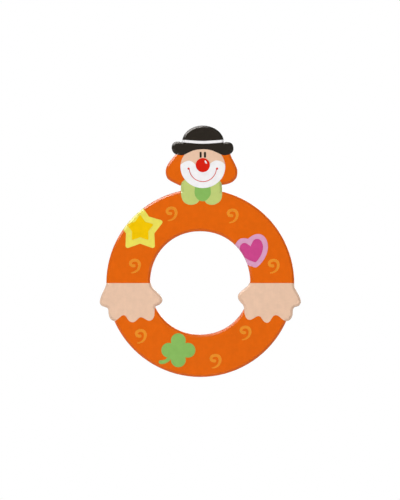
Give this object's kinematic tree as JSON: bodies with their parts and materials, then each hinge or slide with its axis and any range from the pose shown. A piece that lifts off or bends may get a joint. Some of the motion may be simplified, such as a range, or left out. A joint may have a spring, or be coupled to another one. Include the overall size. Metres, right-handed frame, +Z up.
{
  "type": "wooden letter",
  "caption": "Flat wooden letter O with a clown's head and hands, painted with a star, heart, clover and curls, for sticking on a nursery door by the foam pads behind it.",
  "frame": {"origin": "bottom centre of the box around the letter, at mid-depth", "axes": "+Z up from the foot of the ring to the hat, +X to the right as the letter is read, -Y out of the painted front and +Y into the wall"},
  "size_m": [0.0882, 0.0068, 0.1102],
  "materials": {
    "bare_wood": "sanded pale birch, left bare on the back",
    "orange_paint": "satin water-based paint on wood",
    "skin_paint": "satin water-based paint on wood",
    "white_paint": "satin water-based paint on wood",
    "red_paint": "satin water-based paint on wood",
    "black_paint": "satin water-based paint on wood",
    "light_green_paint": "satin water-based paint on wood",
    "green_paint": "satin water-based paint on wood",
    "gold_paint": "satin water-based paint on wood",
    "yellow_paint": "satin water-based paint on wood",
    "magenta_paint": "satin water-based paint on wood",
    "pink_paint": "satin water-based paint on wood",
    "amber_paint": "satin water-based paint on wood",
    "foam": "closed-cell foam with adhesive faces"
  },
  "bodies": {
    "root": {"letter_board": "bare_wood", "hair_left": "orange_paint", "hair_right": "orange_paint", "ring_upper": "orange_paint", "ring_lower": "orange_paint", "bow_left": "light_green_paint", "bow_right": "light_green_paint", "bow_knot": "green_paint", "face": "skin_paint", "muzzle": "white_paint", "smile": "red_paint", "nose": "red_paint", "nose_glint": "white_paint", "eye_left": "black_paint", "eye_right": "black_paint", "hat_crown": "black_paint", "hat_brim": "black_paint", "hat_band": "white_paint", "hand_left": "skin_paint", "hand_right": "skin_paint", "star_border": "yellow_paint", "star_centre": "gold_paint", "heart_border": "pink_paint", "heart_centre": "magenta_paint", "clover": "green_paint", "curl_1": "amber_paint", "curl_2": "amber_paint", "curl_3": "amber_paint", "curl_4": "amber_paint", "curl_5": "amber_paint", "curl_6": "amber_paint", "curl_7": "amber_paint", "pad_top": "foam", "pad_left": "foam", "pad_right": "foam"}
  },
  "joints": []
}
